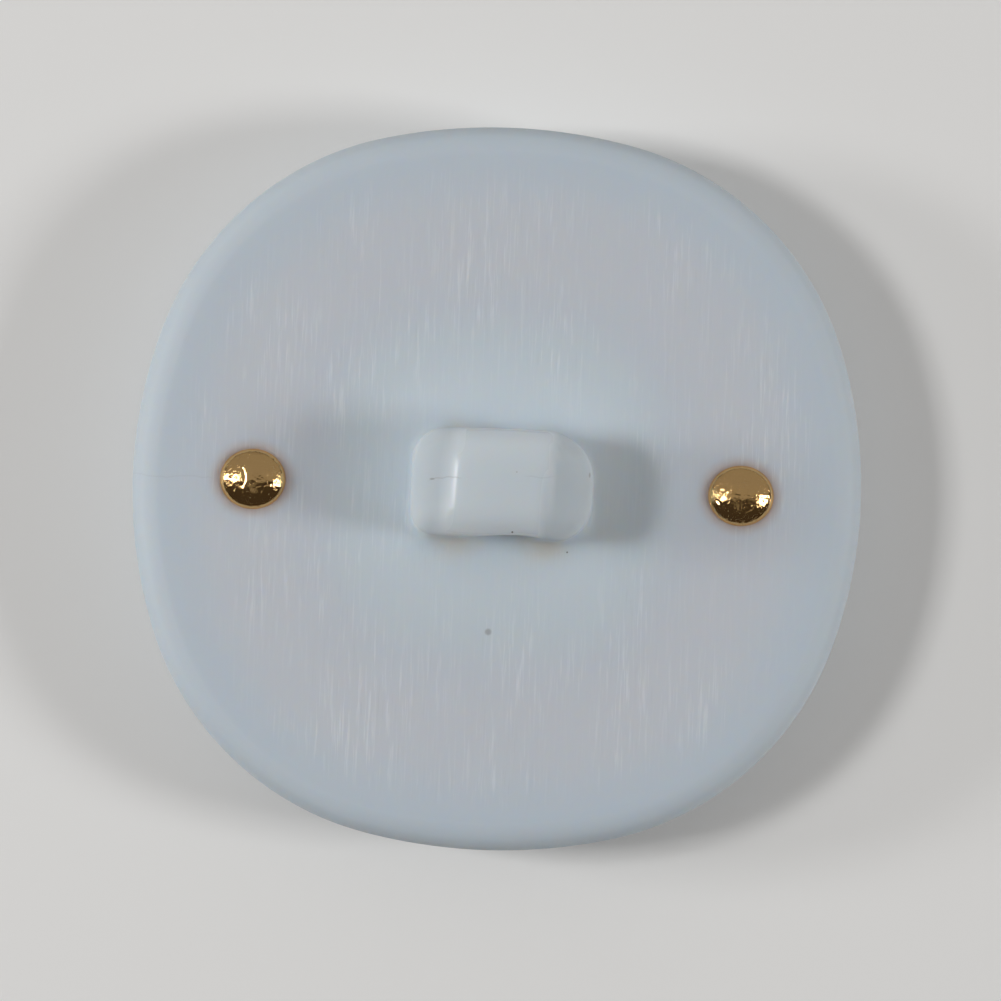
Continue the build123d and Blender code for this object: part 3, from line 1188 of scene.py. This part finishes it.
def gold_plating():
    """The finish of the ring and the rivets."""
    material, tree, shader = new_material("gold_plate")
    place = add(tree, "ShaderNodeTexCoord").outputs["Object"]
    patches = stretched_noise(tree, place, (1400, 1400, 1400), 3.0)
    fine = scratches(tree, place, (5200, 3800, 5200), 30.0)
    roughness = span(tree, patches, 0.3, 0.7, 0.04, 0.13)
    roughness = maths(tree, "ADD", roughness, times(tree, fine, 0.10))

    dimples = span(tree, stretched_noise(tree, place, (7500, 7500, 7500), 2.0), 0.30, 0.62)
    grit = stretched_noise(tree, place, (13000, 13000, 13000), 1.0)
    pinholes = span(tree, grit, 0.70, 0.80, 0.0, 2.5)
    relief = maths(tree, "SUBTRACT", dimples, times(tree, fine, 0.5))
    relief_on(tree, shader, maths(tree, "SUBTRACT", relief, pinholes), 0.7, 0.004 * MM)
    feed(tree, shader, {"Base Color": WARM_GOLD, "Metallic": 1.0, "Roughness": roughness})
    return material


plastic = milk_white_plastic()
gold = gold_plating()
body.data.materials.append(plastic)
for piece in (ring, left_rivet, right_rivet):
    piece.data.materials.append(gold)
for material in (plastic, gold):
    print(f"{material.name}: {len(material.node_tree.nodes)} nodes")

# %% [markdown]
# ## Floor
# A plain pale sheet lies under the button. It is far larger than the view, so that every side view
# has it too.

# %% Floor
FLOOR_HALF = 1.5
PALE_PAPER = (0.88, 0.88, 0.87, 1)


def pale_floor():
    """A plain floor at the height that the button rests on."""
    bm = bmesh.new()
    bmesh.ops.create_grid(bm, x_segments=1, y_segments=1, size=FLOOR_HALF)
    mesh = bpy.data.meshes.new("floor")
    bm.to_mesh(mesh)
    bm.free()
    floor = add_to_scene("floor", mesh)
    floor.location.z = ring_low.z
    material, tree, shader = new_material("floor_paper")
    feed(tree, shader, {"Base Color": PALE_PAPER, "Roughness": 0.9})
    floor.data.materials.append(material)
    return floor


floor = pale_floor()
print(f"floor: {2 * FLOOR_HALF:.0f} m wide, at {floor.location.z / MM:.2f} mm")

# %% [markdown]
# ## Camera
# The button is seen from almost straight above with a long lens, turned a little in the frame.

# %% Camera
CAMERA_DISTANCE = 0.2
CAMERA_ELEVATION = math.radians(88.38)
CAMERA_ROLL = math.radians(-2.0)
CAMERA_AIM = Vector((0.157 * MM, -0.494 * MM, BACK))
CAMERA_LENS = 188.9

camera_data = bpy.data.cameras.new("camera")
camera_data.lens = CAMERA_LENS
camera_data.clip_start = 0.01
camera_data.clip_end = 10.0
camera = add_to_scene("camera", camera_data)
outward = Vector((0, -math.cos(CAMERA_ELEVATION), math.sin(CAMERA_ELEVATION)))
tipped = Matrix.Rotation(math.pi / 2 - CAMERA_ELEVATION, 4, "X")
turned = tipped @ Matrix.Rotation(-CAMERA_ROLL, 4, "Z")
camera.matrix_world = Matrix.Translation(CAMERA_AIM + outward * CAMERA_DISTANCE) @ turned
bpy.context.scene.camera = camera
print("camera at", [round(value, 4) for value in camera.matrix_world.translation])

# %% [markdown]
# ## Light
# Three soft lamps stand at the sides: the main one halfway up on the left, a low one under it and a
# low one on the right. The low ones draw the shank's shadow out across the disc. A wide, dim sheet
# hangs over the far side, and a small dim card over the near side. The rest is left dark, so that
# the gold has something dark to mirror: polished metal looks like metal only when a part of what it
# mirrors is dark.

# %% Light


def soft_lamp(name, centre, size, radiance, aim=(0, 0, 0)):
    """A white rectangular area lamp that faces a point, with a given brightness of its surface."""
    data = bpy.data.lights.new(name, "AREA")
    data.shape = "RECTANGLE"
    data.size, data.size_y = size
    data.energy = radiance * math.pi * size[0] * size[1]
    lamp = add_to_scene(name, data)
    lamp.location = centre
    lamp.rotation_euler = (Vector(centre) - Vector(aim)).to_track_quat("Z", "Y").to_euler()
    lamp.visible_camera = False
    print(f"{name}: {data.energy:.2f} W")


def on_dome(azimuth, elevation, distance):
    """A place given by its direction in degrees and its distance."""
    turn, rise = math.radians(azimuth), math.radians(elevation)
    flat = math.cos(rise) * distance
    return (flat * math.cos(turn), flat * math.sin(turn), math.sin(rise) * distance)


soft_lamp("key_lamp", on_dome(179, 47, 0.4), (0.085, 0.065), 29.3)
soft_lamp("low_left_lamp", on_dome(177, 22, 0.4), (0.085, 0.06), 26.7)
soft_lamp("low_right_lamp", on_dome(-6, 29, 0.4), (0.085, 0.075), 29.0)
soft_lamp("near_card", on_dome(-92, 63, 0.5), (0.13, 0.20), 0.22)
soft_lamp("far_sheet", (0.0, 0.458, 0.475), (3.2, 1.25), 0.27, aim=(0.0, -0.028, -0.29))

world = bpy.data.worlds.new("studio")
bpy.context.scene.world = world
world.use_nodes = True
background = world.node_tree.nodes["Background"]
feed(world.node_tree, background, {"Color": (1.0, 0.82, 0.68, 1), "Strength": 0.055})
bpy.context.scene.view_settings.view_transform = "Standard"
